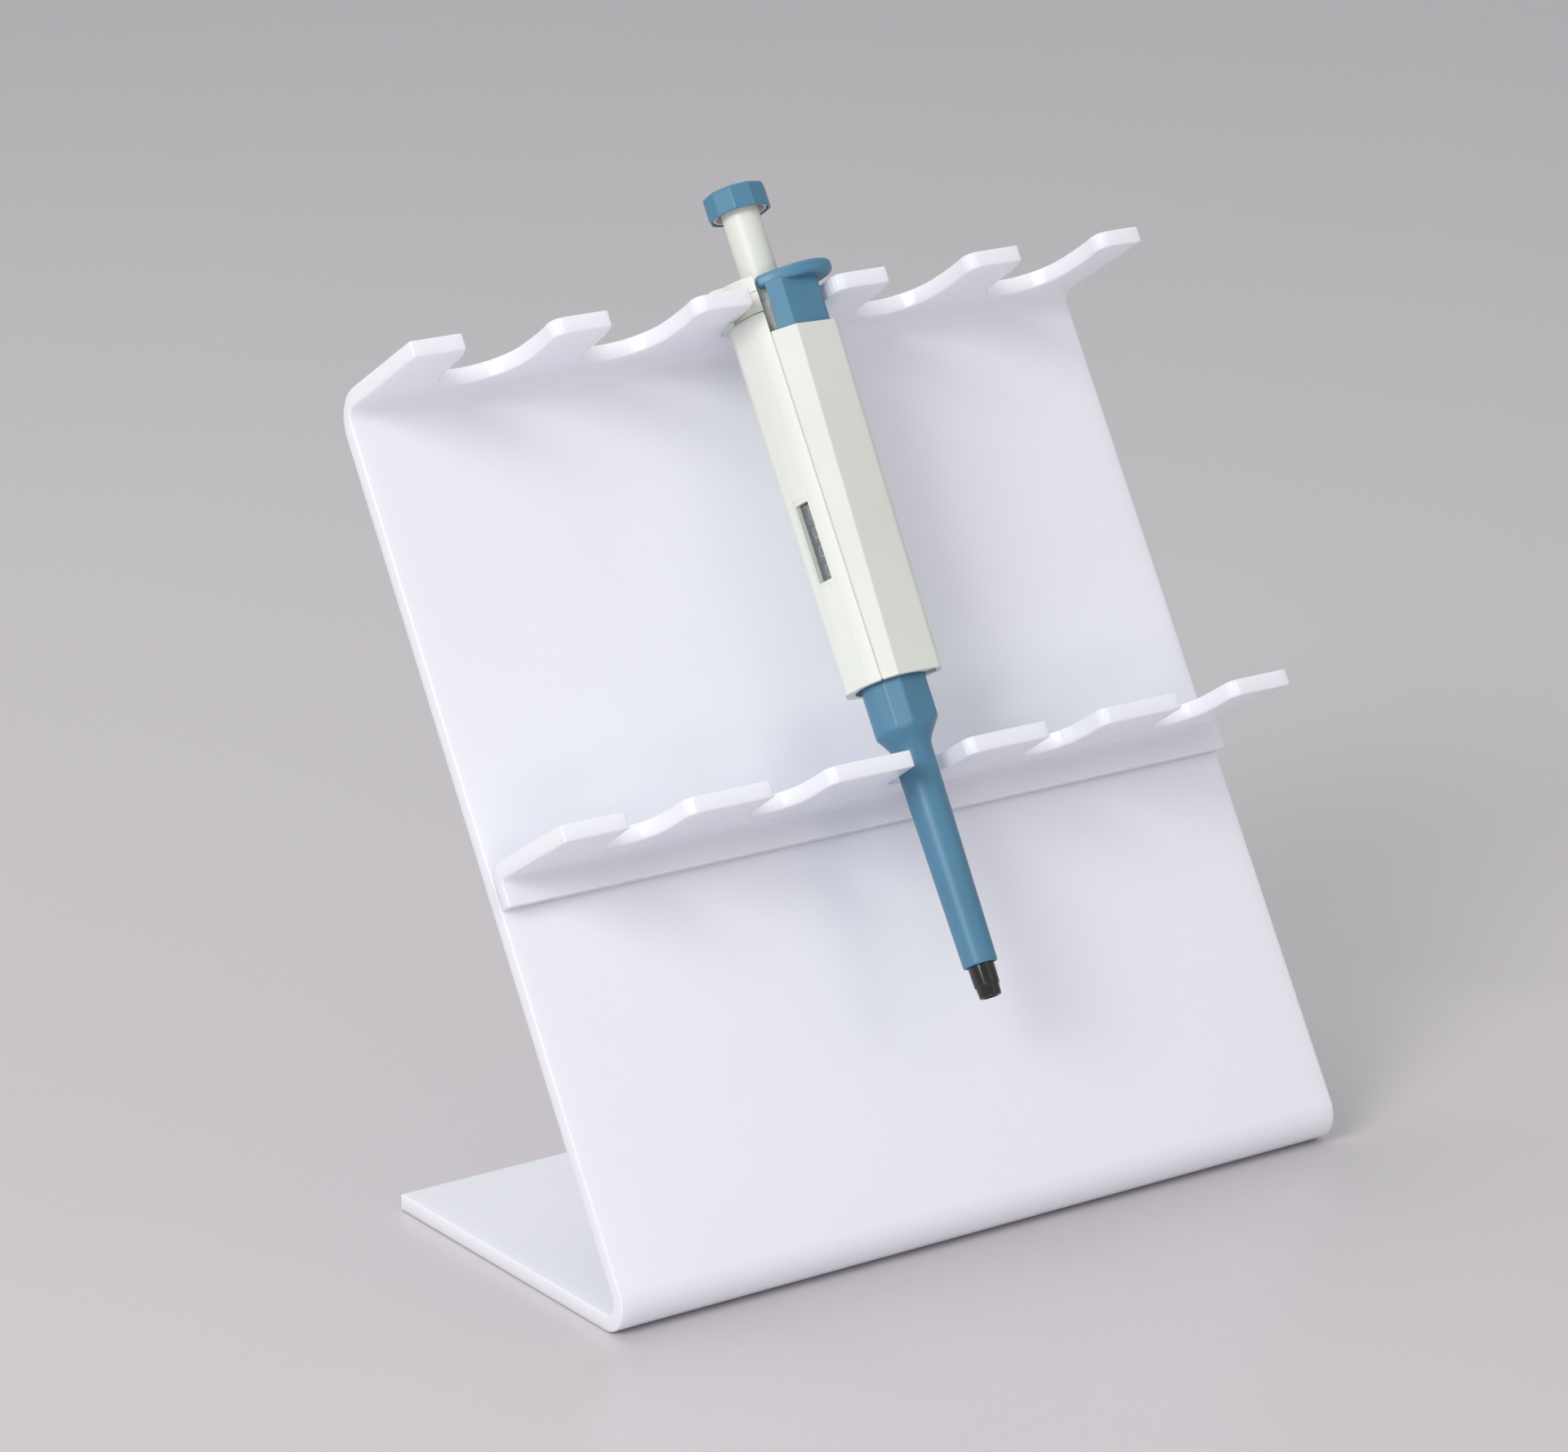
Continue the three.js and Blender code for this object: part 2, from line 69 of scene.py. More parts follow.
scene.camera = cam
scene.view_settings.view_transform = "Standard"
scene.view_settings.look = "None"


# ------------------------------------------------------------------ materials
def srgb(r, g, b):
    f = lambda v: v / 12.92 if v <= 0.04045 else ((v + 0.055) / 1.055) ** 2.4
    return (f(r / 255), f(g / 255), f(b / 255), 1.0)


def scaled(col, k):
    return tuple(min(1.0, x * k) for x in col[:3]) + (1.0,)


def material(
    name, col, rough, var=0.05, var_scale=30, grain=900, bump=0.06, bump_mm=0.02,
    rough_var=0.06, wear=0.0, metallic=0.0, spec=0.5, coat=0.0, coat_rough=0.1,
    sss=0.0, sss_radius=(0.004, 0.004, 0.005), streak=None, alpha=1.0, trans=0.0, ior=1.49,
):  # prettier-ignore
    """Moulded or polished surface: slow colour variation, fine grain in bump and gloss, paler worn edges."""
    m = bpy.data.materials.new(name)
    m.use_nodes = True
    nt = m.node_tree
    n, l = nt.nodes, nt.links
    b = n["Principled BSDF"]
    tc = n.new("ShaderNodeTexCoord")
    slow = n.new("ShaderNodeTexNoise")
    slow.inputs["Scale"].default_value = var_scale
    slow.inputs["Detail"].default_value = 4
    slow.inputs["Roughness"].default_value = 0.55
    l.new(tc.outputs["Object"], slow.inputs["Vector"])
    ramp = n.new("ShaderNodeValToRGB")
    ramp.color_ramp.elements[0].position = 0.3
    ramp.color_ramp.elements[1].position = 0.7
    ramp.color_ramp.elements[0].color = scaled(col, 1 - var)
    ramp.color_ramp.elements[1].color = scaled(col, 1 + var)
    l.new(slow.outputs["Fac"], ramp.inputs["Fac"])
    colour = ramp.outputs["Color"]
    if streak:
        # fine drawn or moulded lines along one direction: (x, y, z) stretch
        mp = n.new("ShaderNodeMapping")
        mp.inputs["Scale"].default_value = streak
        l.new(tc.outputs["Object"], mp.inputs["Vector"])
        lines = n.new("ShaderNodeTexNoise")
        lines.inputs["Scale"].default_value = 1.0
        lines.inputs["Detail"].default_value = 3
        l.new(mp.outputs["Vector"], lines.inputs["Vector"])
        mixl = n.new("ShaderNodeMix")
        mixl.data_type = "RGBA"
        mixl.blend_type = "MULTIPLY"
        mixl.inputs["Factor"].default_value = 0.12
        l.new(colour, mixl.inputs["A"])
        l.new(lines.outputs["Fac"], mixl.inputs["B"])
        colour = mixl.outputs["Result"]
    fine = n.new("ShaderNodeTexNoise")
    fine.inputs["Scale"].default_value = grain
    fine.inputs["Detail"].default_value = 3
    l.new(tc.outputs["Object"], fine.inputs["Vector"])
    if wear > 0:
        geo = n.new("ShaderNodeNewGeometry")
        edge = n.new("ShaderNodeMapRange")
        edge.inputs["From Min"].default_value = 0.505
        edge.inputs["From Max"].default_value = 0.58
        edge.inputs["To Min"].default_value = 0.0
        edge.inputs["To Max"].default_value = wear
        l.new(geo.outputs["Pointiness"], edge.inputs["Value"])
        worn = n.new("ShaderNodeMix")
        worn.data_type = "RGBA"
        worn.inputs["B"].default_value = scaled(col, 1.45)
        l.new(edge.outputs["Result"], worn.inputs["Factor"])
        l.new(colour, worn.inputs["A"])
        colour = worn.outputs["Result"]
    l.new(colour, b.inputs["Base Color"])
    rr = n.new("ShaderNodeMapRange")
    rr.inputs["To Min"].default_value = max(0.02, rough - rough_var)
    rr.inputs["To Max"].default_value = rough + rough_var
    l.new(fine.outputs["Fac"], rr.inputs["Value"])
    l.new(rr.outputs["Result"], b.inputs["Roughness"])
    if bump > 0:
        bp = n.new("ShaderNodeBump")
        bp.inputs["Strength"].default_value = bump
        bp.inputs["Distance"].default_value = bump_mm * S
        l.new(fine.outputs["Fac"], bp.inputs["Height"])
        l.new(bp.outputs["Normal"], b.inputs["Normal"])
    b.inputs["Metallic"].default_value = metallic
    b.inputs["Specular IOR Level"].default_value = spec
    b.inputs["IOR"].default_value = ior
    b.inputs["Coat Weight"].default_value = coat
    b.inputs["Coat Roughness"].default_value = coat_rough
    b.inputs["Alpha"].default_value = alpha
    b.inputs["Transmission Weight"].default_value = trans
    if sss > 0:
        b.inputs["Subsurface Weight"].default_value = sss
        b.inputs["Subsurface Radius"].default_value = (1.0, 1.0, 1.1)
        b.inputs["Subsurface Scale"].default_value = sss_radius[0]
    m.diffuse_color = col
    return m


OPAL = material("opal_acrylic", srgb(238, 239, 249), 0.2, var=0.012, var_scale=9, grain=140, bump=0.02,
                bump_mm=0.02, rough_var=0.05, sss=0.6, sss_radius=(0.009, 0, 0), spec=0.5, ior=1.49)  # prettier-ignore
BLUE = material("blue_moulded", srgb(77, 127, 155), 0.38, var=0.05, var_scale=40, grain=1500, bump=0.12,
                wear=0.3, sss=0.05, sss_radius=(0.001, 0, 0))  # prettier-ignore
WHITE = material("white_moulded", srgb(218, 221, 211), 0.42, var=0.02, var_scale=35, grain=1600, bump=0.12,
                 wear=0.25, sss=0.08, sss_radius=(0.0015, 0, 0))  # prettier-ignore
GREY = material("grey_moulded", srgb(208, 211, 208), 0.45, var=0.05, var_scale=60, grain=1500, bump=0.15,
                wear=0.2)  # prettier-ignore
DARK = material("dark_polished", srgb(27, 27, 28), 0.14, var=0.12, var_scale=120, grain=900, bump=0.05,
                rough_var=0.05, wear=0.2, spec=0.6)  # prettier-ignore
STEEL = material("drawn_steel", srgb(196, 199, 202), 0.26, var=0.06, var_scale=90, grain=2500, bump=0.1,
                 metallic=1.0, streak=(600, 600, 40))  # prettier-ignore
SEAL = material("seal_rubber", srgb(34, 34, 35), 0.6, var=0.15, var_scale=300, grain=3000, bump=0.2)
FILTER = material("porous_filter", srgb(238, 237, 230), 0.85, var=0.08, var_scale=1800, grain=5000, bump=0.6,
                  bump_mm=0.08)  # prettier-ignore
WHEEL = material("wheel_black", srgb(50, 51, 53), 0.5, var=0.12, var_scale=200, grain=2500, bump=0.15,
                 wear=0.3)  # prettier-ignore
FIGURE = material("figure_white", srgb(150, 156, 162), 0.5, var=0.06, var_scale=900, grain=3000, bump=0.1)
LENS = material("clear_lens", srgb(235, 240, 242), 0.05, var=0.03, var_scale=60, grain=500, bump=0.02,
                rough_var=0.03, trans=0.92)  # prettier-ignore
LINER = material("liner_white", srgb(232, 222, 218), 0.4, var=0.03, var_scale=90, grain=1800, bump=0.1)
SEAM = material("seam_white", srgb(206, 209, 200), 0.45, var=0.02, var_scale=40, grain=1600, bump=0.1)
# painted shade: a sheet darker than the opal, for the shade line along the rack strip's lower edge
SHADE_LINE = material("painted_shade_line", srgb(222, 221, 234), 0.3, var=0.03, var_scale=50, grain=300, bump=0.05, sss=0.2)
BY_SLOT = {
    "opal": OPAL, "blue": BLUE, "white": WHITE, "grey": GREY, "dark": DARK, "lens": LENS, "steel": STEEL,
    "seal": SEAL, "filter": FILTER, "wheel": WHEEL,
}  # prettier-ignore

# every CAD node takes its slot's finish
slot_of = {r["node"]: r.get("material_slot") for r in frame["record"].get("subparts", [])}
for name, node in frame["nodes"].items():
    m = BY_SLOT.get(slot_of.get(name), GREY)
    if node.material_slots:
        for ms in node.material_slots:
            ms.material = m
    else:
        node.data.materials.append(m)

# ------------------------------------------------------------------ mesh tools (millimetres)
PIP = Matrix(
    (
        (0.827382, 0.561598, 0.006754, 0.057621),
        (-0.482627, 0.704783, 0.519954, -62.638674),
        (0.287245, -0.433461, 0.854167, 68.855044),
        (0, 0, 0, 1),
    )
)


def to_object(name, bm, mat, body, place=None, sharp=34, weighted=True, replaces=()):
    bmesh.ops.recalc_face_normals(bm, faces=bm.faces)
    for f in bm.faces:
        f.smooth = True
    me = bpy.data.meshes.new(name)
    bm.to_mesh(me)
    bm.free()
    if place is not None:
        me.transform(place)
    me.transform(Matrix.Scale(S, 4))
    if place is not None and place.determinant() < 0:
        me.flip_normals()
    me.set_sharp_from_angle(angle=math.radians(sharp))
    ob = bpy.data.objects.new(name, me)
    scene.collection.objects.link(ob)
    me.materials.append(mat)
    if weighted:
        w = ob.modifiers.new("weighted", "WEIGHTED_NORMAL")
        w.keep_sharp = True
        w.weight = 60
    if body:
        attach(ob, body)
    if replaces:
        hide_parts(*replaces)
    return ob


def area2(poly):
    return sum(a[0] * b[1] - b[0] * a[1] for a, b in zip(poly, poly[1:] + poly[:1]))


def ccw(poly):
    return list(poly) if area2(poly) > 0 else list(reversed(poly))


def fillet(poly, r, only=None, steps=4):
    """Rounds the corners of a closed outline. r is one radius, or one for each corner (0 leaves it)."""
    out, n = [], len(poly)
    for i, p in enumerate(poly):
        ri = r[i] if isinstance(r, (list, tuple)) else r
        a, b = Vector(poly[i - 1]), Vector(poly[(i + 1) % n])
        p = Vector(p)
        da, db = (a - p), (b - p)
        la, lb = da.length, db.length
        if ri <= 0 or la < 1e-6 or lb < 1e-6:
            out.append(tuple(p))
            continue
        da, db = da / la, db / lb
        ang = math.acos(max(-1, min(1, da.dot(db))))
        if ang > math.radians(172):
            out.append(tuple(p))
            continue
        t = min(ri / math.tan(ang / 2), la * 0.45, lb * 0.45)
        rr = t * math.tan(ang / 2)
        bis = (da + db).normalized()
        centre = p + bis * (rr / math.sin(ang / 2))
        s0, s1 = p + da * t - centre, p + db * t - centre
        a0, a1 = math.atan2(s0.y, s0.x), math.atan2(s1.y, s1.x)
        d = (a1 - a0 + math.pi) % (2 * math.pi) - math.pi
        k = max(1, min(steps, round(abs(d) / math.radians(12))))
        for j in range(k + 1):
            q = a0 + d * j / k
            out.append((centre.x + rr * math.cos(q), centre.y + rr * math.sin(q)))
    return out


def inset_poly(poly, d):
    """Moves each side of a counter-clockwise outline inwards by d."""
    out, n = [], len(poly)
    for i in range(n):
        a, p, b = Vector(poly[i - 1]), Vector(poly[i]), Vector(poly[(i + 1) % n])
        u, v = (p - a), (b - p)
        if u.length < 1e-9:
            u = v
        if v.length < 1e-9:
            v = u
        u, v = u.normalized(), v.normalized()
        nu, nv = Vector((-u.y, u.x)), Vector((-v.y, v.x))
        m = nu + nv
        if m.length < 1e-6:
            m = nu
        m = m / max(0.35, m.length_squared) * 2 / 2
        m = (nu + nv) / max(0.5, 1 + nu.dot(nv))
        out.append(tuple(p + m * d))
    return out


def inset_radial(poly, d, centre):
    """As inset_poly, but each point moves towards a centre, so that tight corners never fold over."""
    out, n = [], len(poly)
    for i in range(n):
        a, p, b = Vector(poly[i - 1]), Vector(poly[i]), Vector(poly[(i + 1) % n])
        e = (b - a).normalized()
        nrm = Vector((-e.y, e.x))
        to = (Vector(centre) - p).normalized()
        out.append(tuple(p + to * (d / max(0.6, abs(nrm.dot(to))))))
    return out


def rim(z0, z1, r, steps=3, r_top=None):
    """(height, inset) levels of a slab with rounded rims."""
    rt = r if r_top is None else r_top
    lv = []
    for i in range(steps + 1):
        q = math.pi / 2 * i / steps
        lv.append((z0 + r * (1 - math.sin(q)), r * (1 - math.cos(q))))
    lv = lv[::-1]
    lv = [(z0 + r * (1 - math.cos(math.pi / 2 * i / steps)), r * (1 - math.sin(math.pi / 2 * i / steps)))
          for i in range(steps + 1)]  # prettier-ignore
    lv += [(z1 - rt * (1 - math.sin(math.pi / 2 * i / steps)), rt * (1 - math.cos(math.pi / 2 * i / steps)))
           for i in range(steps + 1)]  # prettier-ignore
    return lv


def slab(poly, levels, warp=None, centre=None):
    """Closed solid from an outline and (height, inset) levels."""
    poly = ccw(poly)
    bm = bmesh.new()
    rings = []
    for z, d in levels:
        if d > 1e-9:
            pts = inset_radial(poly, d, centre) if centre else inset_poly(poly, d)
        else:
            pts = poly
        rings.append([bm.verts.new((x, y, z)) for x, y in pts])
    n = len(poly)
    for a, b in zip(rings, rings[1:]):
        for i in range(n):
            j = (i + 1) % n
            bm.faces.new((a[i], a[j], b[j], b[i]))
    bm.faces.new(list(reversed(rings[0])))
    bm.faces.new(rings[-1])
    if warp:
        for v in bm.verts:
            v.co = Vector(warp(*v.co))
    return bm


def lathe(profile, segments=96, closed=False):
    """Turned solid from (radius, height) points; the ends lie on the axis unless closed."""
    bm = bmesh.new()
    rings = []
    for r, z in profile:
        if r < 1e-6:
            rings.append([bm.verts.new((0, 0, z))])
        else:
            rings.append(
                [bm.verts.new((r * math.cos(2 * math.pi * i / segments), r * math.sin(2 * math.pi * i / segments), z))
                 for i in range(segments)]
            )  # prettier-ignore
    pairs = list(zip(rings, rings[1:]))
    if closed:
        pairs.append((rings[-1], rings[0]))
    for a, b in pairs:
        if len(a) == 1 and len(b) == 1:
            continue
        for i in range(segments):
            j = (i + 1) % segments
            if len(a) == 1:
                bm.faces.new((a[0], b[j], b[i]))
            elif len(b) == 1:
                bm.faces.new((a[i], a[j], b[0]))
            else:
                bm.faces.new((a[i], a[j], b[j], b[i]))
    return bm


def arc(cx, cy, r, a0, a1, n):
    return [
        (cx + r * math.cos(math.radians(a0 + (a1 - a0) * i / n)), cy + r * math.sin(math.radians(a0 + (a1 - a0) * i / n)))
        for i in range(n + 1)
    ]  # prettier-ignore


def mirror_y(half):
    return list(half) + [(x, -y) for x, y in reversed(half)]


def boxed(x0, x1, y0, y1, z0, z1):
    return slab([(x0, y0), (x1, y0), (x1, y1), (x0, y1)], [(z0, 0), (z1, 0)])


def carve(bm, cutters, join=()):
    """Takes the cutters away from bm with exact booleans and gives the new bmesh. All in millimetres."""
    def temp(b):
        bmesh.ops.recalc_face_normals(b, faces=b.faces)
        me = bpy.data.meshes.new("tmp")
        b.to_mesh(me)
        b.free()
        o = bpy.data.objects.new("tmp", me)
        scene.collection.objects.link(o)
        return o

    base = temp(bm)
    tools = []
    for b, op in [(b, "UNION") for b in join] + [(b, "DIFFERENCE") for b in cutters]:
        t = temp(b)
        md = base.modifiers.new("cut", "BOOLEAN")
        md.operation = op
        md.solver = "EXACT"
        md.object = t
        tools.append(t)
    bpy.context.view_layer.update()
    dg = bpy.context.evaluated_depsgraph_get()
    me = bpy.data.meshes.new_from_object(base.evaluated_get(dg))
    out = bmesh.new()
    out.from_mesh(me)
    for o in [base, *tools]:
        d = o.data
        bpy.data.objects.remove(o)
        bpy.data.meshes.remove(d)
    bpy.data.meshes.remove(me)
    bmesh.ops.remove_doubles(out, verts=out.verts, dist=1e-4)
    bmesh.ops.dissolve_limit(out, angle_limit=math.radians(0.3), verts=out.verts, edges=out.edges)
    return out


# ------------------------------------------------------------------ stand
WIDTH, SHEET, LEAN = 238.0, 4.6, 30.9
FLANGE_S, TOP_R, TOP_OUT, FLANGE_TILT, FLANGE_DEPTH = 259.0, 3.5, 11.0, -0.3, 41.9
BOT_R, BASE_DEPTH, PITCH, SLOTS, Y_MID = 8.5, 118.7, 45.0, 5, 70.177
RACK_T, RACK_GAP, RACK_BOTTOM, RACK_CREASE, RACK_TILT, RACK_DEPTH, RACK_R = 4.6, 0.3, 119.0, 126.5, -0.7, 37.2, 1.6
st, ct = math.sin(math.radians(LEAN)), math.cos(math.radians(LEAN))


def side(sv, o):
    return (sv * st - o * ct, sv * ct + o * st)


def bent(s0, o0, tilt, v, w):
    t = math.radians(tilt)
    return (s0 + v * math.sin(t) + w * math.cos(t), o0 + v * math.cos(t) - w * math.sin(t))


UPPER_SLOT = [
    (15.9, 44), (15.9, 41.9), (16.3, 40.6), (17.4, 37.6), (18.2, 33.5), (18.8, 28), (19.2, 21.5),
    *arc(32, 21.5, 12.8, 180, 360, 26)[1:],
    (45.0, 26), (44.9, 31), (44.5, 35), (44.0, 37.6), (44.1, 39.4), (44.9, 40.9), (46.4, 41.7), (48.2, 42.0),
    (48.2, 44),
]  # prettier-ignore
LOWER_SLOT = [
    (19.7, 39.4), (19.7, 36.9), (20.2, 34), (21.6, 27), (22.2, 21.5),
    *arc(30.8, 21.5, 8.6, 180, 360, 20)[1:],
    (39.2, 27), (38.6, 32.5), (38.4, 34.6), (38.9, 36.1), (40.4, 37.2), (40.4, 39.4),
]  # prettier-ignore


def comb(slot, depth, foot, near):
    """Outline in plan (x, v): v from foot to depth, with the slots cut from the far side."""
    pts = [(0.0, foot), (0.0, depth)]
    for i in range(SLOTS):
        run = [(x + PITCH * i, v) for x, v in slot]
        inner = [p for p in run if p[1] < depth - near]
        pts.append((run[1][0], depth))
        pts += inner
        pts.append((run[-1][0] if inner[-1][1] < depth - 0.4 else inner[-1][0] + 1.6, depth))
    pts += [(WIDTH, depth), (WIDTH, foot)]
    out = []
    for p in pts:
        if not out or (Vector(p) - Vector(out[-1])).length > 0.05:
            out.append(p)
    return out


def bend_sheet(outline, stations, thick, rim_r, corner):
    """A flat sheet with rounded edges, bent so that its v runs along stations.
    stations: (v, front point, back point) in the upright side view (y, z)."""
    n = len(outline)
    lv = rim(0, thick, rim_r, 3)
    bm = slab(outline, lv)
    for v, _, _ in stations[1:-1]:
        bmesh.ops.bisect_plane(bm, geom=bm.verts[:] + bm.edges[:] + bm.faces[:], plane_co=(0, v, 0), plane_no=(0, 1, 0))
    for vert in bm.verts:
        x, v, w = vert.co
        k = 0
        while k < len(stations) - 2 and v > stations[k + 1][0] + 1e-6:
            k += 1
        (va, fa, ba), (vb, fb, bb) = stations[k], stations[k + 1]
        t = (v - va) / (vb - va)
        f = Vector(fa).lerp(Vector(fb), t)
        b = Vector(ba).lerp(Vector(bb), t)
        p = f.lerp(b, w / thick)
        vert.co = (x - WIDTH / 2, p.x - Y_MID, p.y)
    return bm


# the whole sheet: base, bottom bend, panel, top bend, flange; v is a nominal length along it
tl = BOT_R / math.tan(math.radians((90 - LEAN) / 2))
stations = [(-400.0, (BASE_DEPTH, 0.0), (BASE_DEPTH, SHEET))]
nb = 14
for i in range(nb + 1):
    a = math.radians(-90 - (90 + LEAN) * i / nb)
    stations.append(
        (-300 + 20 * i / nb,
         (tl + BOT_R * math.cos(a), BOT_R + BOT_R * math.sin(a)),
         (tl + (BOT_R - SHEET) * math.cos(a), BOT_R + (BOT_R - SHEET) * math.sin(a)))
    )  # prettier-ignore
fa = 90 - FLANGE_TILT
half = math.tan(math.radians(fa / 2))
inner, outer = FLANGE_S - TOP_R * half, FLANGE_S + SHEET * half - TOP_OUT * half
nt_ = 14
for i in range(nt_ + 1):
    q = math.radians(fa * i / nt_)
    stations.append(
        (-20 + 14 * i / nt_,
         side(inner + TOP_R * math.sin(q), TOP_R - TOP_R * math.cos(q)),
         side(outer + TOP_OUT * math.sin(q), -SHEET + TOP_OUT - TOP_OUT * math.cos(q)))
    )  # prettier-ignore
# the bend's outer side leaves the flange later than its inner side, so the first millimetres of flange even that out
v_even = 8.0
stations.append((v_even, side(*bent(FLANGE_S, 0, FLANGE_TILT, v_even, 0)), side(*bent(FLANGE_S, 0, FLANGE_TILT, v_even, SHEET))))
stations.append(
    (FLANGE_DEPTH, side(*bent(FLANGE_S, 0, FLANGE_TILT, FLANGE_DEPTH, 0)),
     side(*bent(FLANGE_S, 0, FLANGE_TILT, FLANGE_DEPTH, SHEET)))
)  # prettier-ignore
# slots are laid out from the front corner along the flange
bm = bend_sheet(ccw(fillet(comb(UPPER_SLOT, FLANGE_DEPTH, -400.0, 0.05), 0.5, steps=3)), stations, SHEET, 0.45, 0.6)
stand_sheet = to_object("stand_sheet", bm, OPAL, "stand", sharp=50, replaces=["stand_panel"])

so = RACK_GAP + RACK_T
turn = 90 - RACK_TILT
tb = RACK_R * math.tan(math.radians(turn / 2))
rs = [(-40.0, side(RACK_BOTTOM, so), side(RACK_BOTTOM, RACK_GAP))]
for i in range(9):
    q = math.radians(turn * i / 8)
    rs.append(
        (-10 + 9.0 * i / 8,
         side(RACK_CREASE - tb + RACK_R * math.sin(q), so + RACK_R - RACK_R * math.cos(q)),
         side(RACK_CREASE - tb + (RACK_R + RACK_T) * math.sin(q), so + RACK_R - (RACK_R + RACK_T) * math.cos(q)))
    )  # prettier-ignore
rs.append((RACK_DEPTH, side(*bent(RACK_CREASE, so, RACK_TILT, RACK_DEPTH, 0)),
           side(*bent(RACK_CREASE, so, RACK_TILT, RACK_DEPTH, RACK_T))))  # prettier-ignore
# its shelf starts at v = tb, so the slots keep their place
rs = [(v, f, b) for v, f, b in rs[:-2]] + [(tb, rs[-2][1], rs[-2][2]), rs[-1]]
bm = bend_sheet(ccw(fillet(comb(LOWER_SLOT, RACK_DEPTH, -40.0, 0.45), 0.5, steps=3)), rs, RACK_T, 0.4, 0.6)
rack = to_object("rack_sheet", bm, OPAL, "stand", sharp=50, replaces=["rack_strip"])

# painted shade line: a sheet darker than the opal, laid in the gap between the strip and the panel, a little inside
# their edges, to draw the shade along the strip's lower edge
def glue_at(x, sv, o):
    y, z = side(sv, o)
    return (x - WIDTH / 2, y - Y_MID, z)


shade_sheet = slab([(1.2, 119.9), (WIDTH - 1.2, 119.9), (WIDTH - 1.2, 124.6), (1.2, 124.6)], [(0.02, 0), (0.28, 0)])
for v in shade_sheet.verts:
    v.co = Vector(glue_at(*v.co))
to_object("painted_shade_line", shade_sheet, SHADE_LINE, "stand", sharp=50)

# ------------------------------------------------------------------ pipette
H_BODY0, H_NOTCH, H_HOOK, H_NECK, H_TOP = 88.75, 188.9, 201.0, 195.25, 206.6
NECK_R, SEAM_X, BORE_R, SHAFT_R, KNOB_R, KNOB_H0, KNOB_H1 = 11.0, -1.9, 9.9, 5.3, 8.95, 225.1, 232.1
PAD_H0, PAD_H1, PAD_TILT = 201.75, 205.85, 1.7


def taper(x, z):
    k = (H_NOTCH - z) / (H_NOTCH - H_BODY0)
    if k <= 0:
        return x
    # the same shift at the section's corners as the CAD, smooth between them
    knots = [(-30, 0), (-1.6, 0), (5.6, 2.7), (16.3, 1.8), (30, 1.8)]
    for (xa, sa), (xb, sb) in zip(knots, knots[1:]):
        if xa <= x <= xb:
            return x - (sa + (sb - sa) * (x - xa) / (xb - xa)) * k
    return x


def top_z(x):
    return 205.073 - 0.0755 * x


# hook side of the handle
half_l = [(SEAM_X, -11.29), (-4.2, -10.8), (-7.2, -9.4), (-12.0, -4.6), (-12.6, -2.6)]
poly_l = mirror_y(half_l)
poly_l = fillet(ccw(poly_l), [0.1 if abs(p[0] - SEAM_X) < 0.01 else (9.0 if p[0] > -8 else 1.6) for p in ccw(poly_l)], steps=6)
levels = rim(H_BODY0, H_NECK, 0.3, 3, r_top=0.0)[:4] + [
    (H_NOTCH, 0), (H_NECK - 1.6, 0), (H_NECK - 1.1, 0.1), (H_NECK - 0.55, 0.38), (H_NECK - 0.18, 0.8), (H_NECK, 1.3), (H_NECK + 0.02, 9.0), (H_HOOK - 0.02, 9.0), (H_HOOK, 0.12),
    (H_HOOK + 0.25, 0), (H_TOP - 1.0, 0), (H_TOP - 0.24, 0), (H_TOP - 0.07, 0.07), (H_TOP, 0.24),
]  # prettier-ignore


def shell_slab():
    poly = ccw(poly_l)
    b = bmesh.new()
    rings = []
    for z, d in levels:
        if d > 5:
            pts = []
            for x, y in poly:
                r = math.hypot(x, y)
                k = min(1.0, (NECK_R - 0.02) / r)
                pts.append((max(x * k, x) if x < 0 and abs(x - SEAM_X) > 0.3 else x, y * k))
        else:
            pts = inset_radial(poly, d, (-6.5, 0.0)) if d > 0 else poly
        # the top falls towards the shaft
        rings.append([b.verts.new((x, y, z if z < H_TOP - 1.5 else top_z(x) - (H_TOP - z))) for x, y in pts])
    n = len(poly)
    for p, q in zip(rings, rings[1:]):
        for i in range(n):
            j = (i + 1) % n
            b.faces.new((p[i], p[j], q[j], q[i]))
    b.faces.new(list(reversed(rings[0])))
    b.faces.new(rings[-1])
    return b


collar_cav = mirror_y([(10.1, -2.7), (3.1, -9.3), (-2, -9.2), (-5.8, -7.7), (-8.2, -4.3), (-8.9, -1.8)])
cyl = lambda r, z0, z1, n=96: lathe([(0, z0), (r, z0), (r, z1), (0, z1)], n)


def turned(bm_):
    bmesh.ops.rotate(bm_, verts=bm_.verts, cent=(0, 0, 0), matrix=Matrix.Rotation(math.radians(-135), 3, "Z"))
    return bm_


def window_box(x0, x1, hw, z0, z1, r):
    # rounded corners, run along the window's own normal
    p = fillet([(-hw, z0), (hw, z0), (hw, z1), (-hw, z1)], r, steps=4)
    b = slab(p, [(x0, 0), (x1, 0)])
    for v in b.verts:
        v.co = Vector((v.co.z, v.co.x, v.co.y))
    return turned(b)


def hook_solid(inset=0.0):
    prof = [(-9, H_HOOK), (-15.2, H_HOOK), (-16.8, H_HOOK + 0.4), (-17.6, H_HOOK + 1.0), (-17.4, H_HOOK + 1.9),
            (-16.2, H_TOP - 1.9), (-14.4, H_TOP - 0.8), (-12.6, H_TOP - 0.1), (-9, top_z(-9) - 0.02)]  # prettier-ignore
    prof = [(x, min(z, top_z(x) - 0.02)) for x, z in prof]
    prof = fillet(ccw(prof), [0 if x > -10 else 0.9 for x, z in ccw(prof)], steps=4)
    b = slab(prof, rim(-6.4, 6.4, 0.9, 4))
    for v in b.verts:
        v.co = Vector((v.co.x, -v.co.z, v.co.y))
    return b


